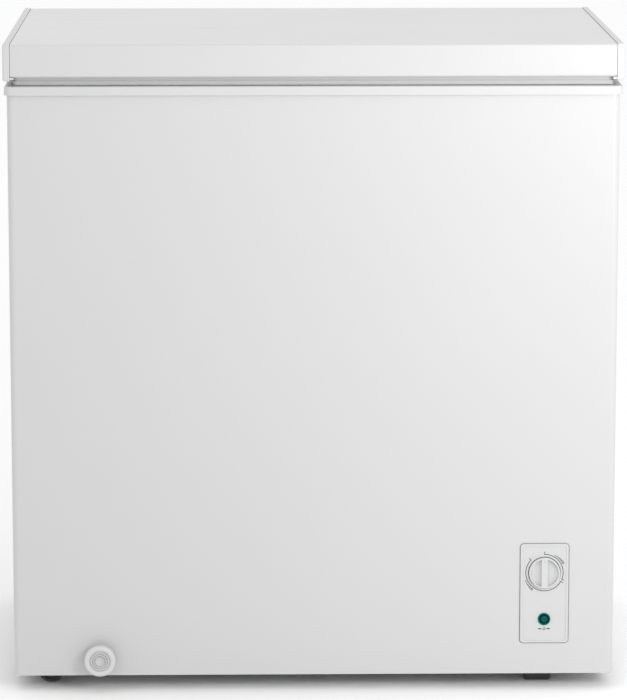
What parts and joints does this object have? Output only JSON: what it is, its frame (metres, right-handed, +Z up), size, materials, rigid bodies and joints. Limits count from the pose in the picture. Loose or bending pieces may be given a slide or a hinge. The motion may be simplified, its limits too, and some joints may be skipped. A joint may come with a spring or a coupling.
{
  "type": "chest freezer",
  "caption": "Compact white chest freezer with a hinged insulated lid, front thermostat dial and lamp, drain cap, wire basket, wheels and feet.",
  "frame": {"origin": "on the floor, under the middle of the overall bounding box", "axes": "+X to the right as the user faces the front, +Y from the front to the hinges at the back, +Z up"},
  "size_m": [0.795, 0.566, 0.85],
  "materials": {
    "white_paint": "smooth satin white paint on steel sheet",
    "white_moulding": "glossy white moulding",
    "liner_white": "vacuum-formed white sheet",
    "tub_aluminium": "stucco-embossed sheet with clear coat",
    "gasket_grey": "soft light grey vinyl",
    "black_plastic": "fine-grained black",
    "black_rubber": "matt black",
    "zinc_steel": "zinc plated",
    "black_enamel": "semi-gloss black enamel",
    "pump_iron": "machined and oiled",
    "copper_tube": "drawn copper",
    "lamp_teal": "tinted clear teal",
    "insulation_foam": "rigid closed-cell polyurethane foam",
    "basket_wire": "white plastic-dipped steel wire",
    "control_black": "moulded case",
    "drain_plastic": "white polypropylene"
  },
  "bodies": {
    "cabinet": {"back_panel": "white_paint", "base_pan": "zinc_steel", "bay_bulkhead": "zinc_steel", "cabinet_foam": "insulation_foam", "cabinet_rim": "white_moulding", "capillary_tube": "copper_tube", "compressor_bolts": "zinc_steel", "compressor_grommets": "black_rubber", "compressor_plate": "zinc_steel", "compressor_pump": "pump_iron", "compressor_shell": "black_enamel", "condenser_coil": "zinc_steel", "control_lead": "black_rubber", "control_panel": "white_moulding", "cord_gland": "black_rubber", "discharge_tube": "copper_tube", "drain_pipe": "drain_plastic", "drier_inlet_tube": "copper_tube", "evaporator_coil": "copper_tube", "filter_drier": "copper_tube", "foot_front": "black_plastic", "foot_rear": "black_plastic", "grille_screws": "zinc_steel", "hinge_bracket_left": "zinc_steel", "hinge_bracket_right": "zinc_steel", "hinge_bracket_screws": "zinc_steel", "hinge_pin_left": "zinc_steel", "hinge_pin_right": "zinc_steel", "hinge_spring_left": "zinc_steel", "hinge_spring_right": "zinc_steel", "inner_tub": "tub_aluminium", "lamp_holder": "control_black", "lamp_lens": "lamp_teal", "outer_wrap": "white_paint", "rear_grille": "white_paint", "relay_box": "control_black", "suction_tube": "copper_tube", "thermostat": "control_black", "wheel_axles": "zinc_steel", "wheel_housing_front": "black_plastic", "wheel_housing_rear": "black_plastic"},
    "lid": {"lid_panel": "white_paint", "lid_cap_left": "white_moulding", "lid_cap_right": "white_moulding", "lid_liner": "liner_white", "lid_gasket": "gasket_grey", "lid_foam": "insulation_foam", "hinge_leaf_left": "zinc_steel", "hinge_leaf_right": "zinc_steel", "hinge_leaf_screws": "zinc_steel"},
    "plunger_left": {"hinge_plunger_left": "control_black"},
    "plunger_right": {"hinge_plunger_right": "control_black"},
    "knob": {"thermostat_knob": "white_moulding", "thermostat_shaft": "control_black"},
    "spout": {"drain_spout": "drain_plastic"},
    "cap": {"drain_cap": "white_moulding"},
    "plug": {"drain_plug": "gasket_grey"},
    "wheel_at_front": {"wheel_front": "black_plastic"},
    "wheel_at_rear": {"wheel_rear": "black_plastic"},
    "basket": {"storage_basket": "basket_wire"}
  },
  "joints": [
    {"name": "lid_hinge", "type": "hinge", "parent": "cabinet", "child": "lid", "pos_m": [0, 0.271, 0.806], "axis": [-1, 0, 0], "range_deg": [0, 85], "stiffness_Nm_per_rad": 5, "springref_deg": 91.67},
    {"name": "hinge_plunger_left_slide", "type": "slide", "parent": "cabinet", "child": "plunger_left", "axis": [0, 0, 1], "range_m": [0, 0.0056], "deforming": ["hinge_spring_left"]},
    {"name": "hinge_plunger_right_slide", "type": "slide", "parent": "cabinet", "child": "plunger_right", "axis": [0, 0, 1], "range_m": [0, 0.0056], "deforming": ["hinge_spring_right"]},
    {"name": "thermostat_turn", "type": "hinge", "parent": "cabinet", "child": "knob", "pos_m": [0.3018, -0.262, 0.1559], "axis": [0, 1, 0], "range_deg": [0, 310]},
    {"name": "drain_spout_slide", "type": "slide", "parent": "cabinet", "child": "spout", "axis": [0, -1, 0], "range_m": [0, 0.055]},
    {"name": "drain_cap_turn", "type": "hinge", "parent": "spout", "child": "cap", "pos_m": [-0.28, -0.275, 0.044], "axis": [0, 1, 0], "range_deg": [0, 180]},
    {"name": "drain_plug_lift", "type": "slide", "parent": "cabinet", "child": "plug", "axis": [0, 0, 1], "range_m": [0, 0.06]},
    {"name": "front_wheel_spin", "type": "hinge", "parent": "cabinet", "child": "wheel_at_front", "pos_m": [-0.347, -0.209, 0.0175], "axis": [0, 1, 0], "continuous": true},
    {"name": "rear_wheel_spin", "type": "hinge", "parent": "cabinet", "child": "wheel_at_rear", "pos_m": [-0.347, 0.205, 0.0175], "axis": [0, 1, 0], "continuous": true},
    {"name": "basket_slide", "type": "slide", "parent": "cabinet", "child": "basket", "axis": [-1, 0, 0], "range_m": [0, 0.444]}
  ],
  "couplings": [
    {"joint": "hinge_plunger_left_slide", "follows": "lid_hinge", "m_per_rad": 0.0037074},
    {"joint": "hinge_plunger_right_slide", "follows": "lid_hinge", "m_per_rad": 0.0037074}
  ]
}
